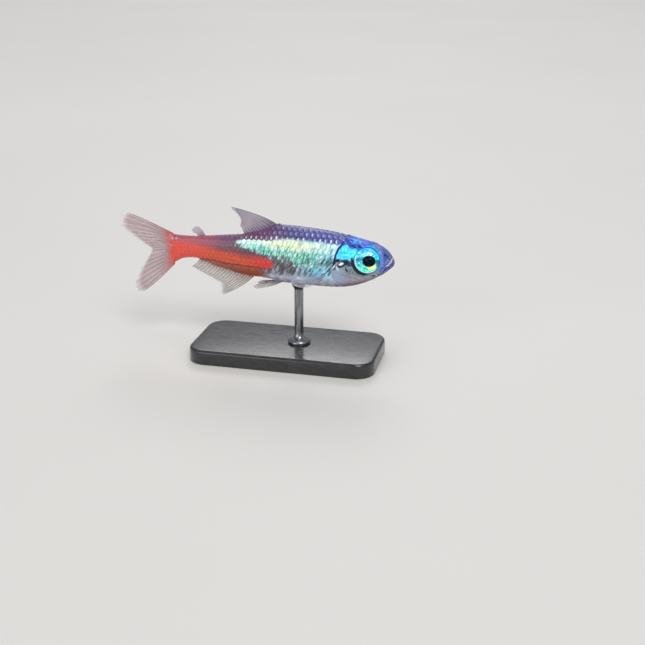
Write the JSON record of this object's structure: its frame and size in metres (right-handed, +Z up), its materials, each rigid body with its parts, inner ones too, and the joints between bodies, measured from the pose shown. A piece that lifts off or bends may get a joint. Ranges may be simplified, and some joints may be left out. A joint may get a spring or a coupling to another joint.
{
  "type": "neon tetra fish model",
  "caption": "Small slender aquarium fish with a blue-green side stripe, a red hind band and clear fins, on a rod with a flat base.",
  "frame": {"origin": "on the table under the middle of the whole model's box, on the flat underside of the stand's base", "axes": "+X from tail to snout, +Y to the fish's left, +Z up"},
  "size_m": [0.0371, 0.012, 0.02],
  "materials": {
    "head_skin": "satin",
    "flank_skin": "satin",
    "tail_skin": "satin",
    "fin": "satin",
    "eye": "gloss",
    "stand_paint": "satin",
    "stand_steel": "satin"
  },
  "bodies": {
    "root": {"head": "head_skin", "trunk": "flank_skin", "tail_stem": "tail_skin", "eye_right": "eye", "eye_left": "eye", "stand_base": "stand_paint", "stand_rod": "stand_steel", "dorsal_fin": "fin", "adipose_fin": "fin", "anal_fin": "fin", "tail_fin_upper": "fin", "tail_fin_lower": "fin", "pectoral_fin_right": "fin", "pectoral_fin_left": "fin", "pelvic_fin_right": "fin", "pelvic_fin_left": "fin"}
  },
  "joints": []
}
